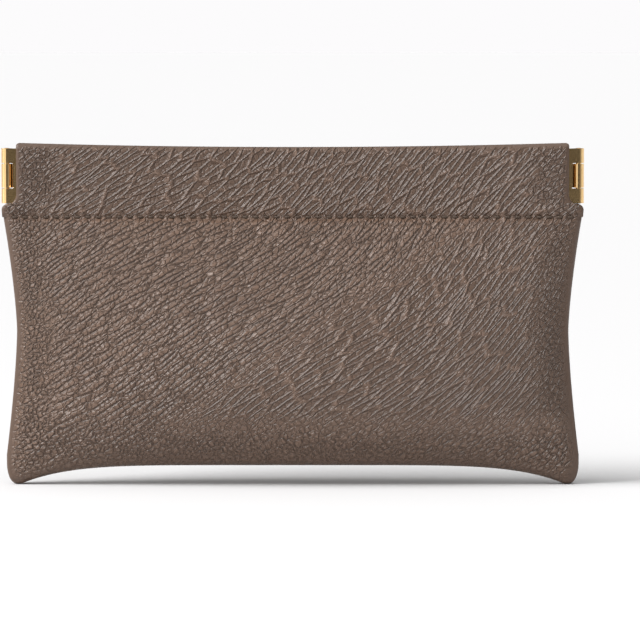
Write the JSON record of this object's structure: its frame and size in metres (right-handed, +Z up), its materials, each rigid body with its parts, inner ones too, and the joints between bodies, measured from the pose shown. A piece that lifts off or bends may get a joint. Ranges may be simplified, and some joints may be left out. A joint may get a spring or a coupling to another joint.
{
  "type": "squeeze coin purse",
  "caption": "Flat lined leather pouch with a sprung two-strip flex frame in its mouth, which opens when its ends are squeezed.",
  "frame": {"origin": "middle of the purse on the surface it stands on, under the closed mouth", "axes": "+Z up to the mouth, X along the mouth, front towards -Y"},
  "size_m": [0.128, 0.0196, 0.0752],
  "materials": {
    "leather": "pebbled, semi-matte",
    "lining": "woven cotton",
    "thread": "waxed polyester thread",
    "gilt_steel": "polished gold plate"
  },
  "bodies": {
    "root": {"bottom_fold": "leather", "left_side_seam": "leather", "right_side_seam": "leather", "left_seam_thread": "thread", "right_seam_thread": "thread"},
    "front_side": {"front_panel": "leather", "front_lining": "lining", "front_hem_stitches": "thread"},
    "back_side": {"back_panel": "leather", "back_lining": "lining", "back_hem_stitches": "thread"},
    "front_left": {"front_casing_left": "leather", "front_strip_left": "gilt_steel", "left_hinge_pin": "gilt_steel"},
    "front_middle": {"front_casing_middle": "leather", "front_strip_middle": "gilt_steel"},
    "front_right": {"front_casing_right": "leather", "front_strip_right": "gilt_steel", "right_hinge_pin": "gilt_steel"},
    "back_left": {"back_casing_left": "leather", "back_strip_left": "gilt_steel"},
    "back_middle": {"back_casing_middle": "leather", "back_strip_middle": "gilt_steel"},
    "back_right": {"back_casing_right": "leather", "back_strip_right": "gilt_steel"}
  },
  "joints": [
    {"name": "back_frame_slide", "type": "slide", "parent": "root", "child": "back_middle", "axis": [0, 1, 0], "range_m": [0, 0.0158]},
    {"name": "back_left_bend", "type": "hinge", "parent": "back_middle", "child": "back_left", "pos_m": [-0.014, 0.00015, 0.068], "axis": [0, 0, 1], "range_deg": [0, 18.9]},
    {"name": "left_hinge", "type": "hinge", "parent": "back_left", "child": "front_left", "pos_m": [-0.0628, 0, 0.068], "axis": [0, 0, -1], "range_deg": [0, 35.8], "stiffness_Nm_per_rad": 0.05, "springref_deg": -14.32},
    {"name": "front_left_bend", "type": "hinge", "parent": "front_left", "child": "front_middle", "pos_m": [-0.014, -0.00015, 0.068], "axis": [0, 0, 1], "range_deg": [0, 18.9]},
    {"name": "front_right_bend", "type": "hinge", "parent": "front_middle", "child": "front_right", "pos_m": [0.014, -0.00015, 0.068], "axis": [0, 0, 1], "range_deg": [0, 18.9]},
    {"name": "back_right_bend", "type": "hinge", "parent": "back_middle", "child": "back_right", "pos_m": [0.014, 0.00015, 0.068], "axis": [0, 0, -1], "range_deg": [0, 18.9]},
    {"name": "back_side_swing", "type": "hinge", "parent": "root", "child": "back_side", "pos_m": [0, 0, 0.0056], "axis": [-1, 0, 0], "range_deg": [0, 17.14]},
    {"name": "front_side_swing", "type": "hinge", "parent": "back_side", "child": "front_side", "pos_m": [0, 0, 0.0056], "axis": [1, 0, 0], "range_deg": [0, 33.29]}
  ],
  "couplings": [
    {"joint": "back_frame_slide", "follows": "left_hinge", "m_per_rad": 0.024005},
    {"joint": "back_left_bend", "follows": "left_hinge", "ratio": 0.5},
    {"joint": "front_left_bend", "follows": "left_hinge", "ratio": 0.5},
    {"joint": "front_right_bend", "follows": "left_hinge", "ratio": 0.5},
    {"joint": "back_right_bend", "follows": "left_hinge", "ratio": 0.5},
    {"joint": "back_side_swing", "follows": "left_hinge", "ratio": 0.45089},
    {"joint": "front_side_swing", "follows": "left_hinge", "ratio": 0.90178}
  ]
}
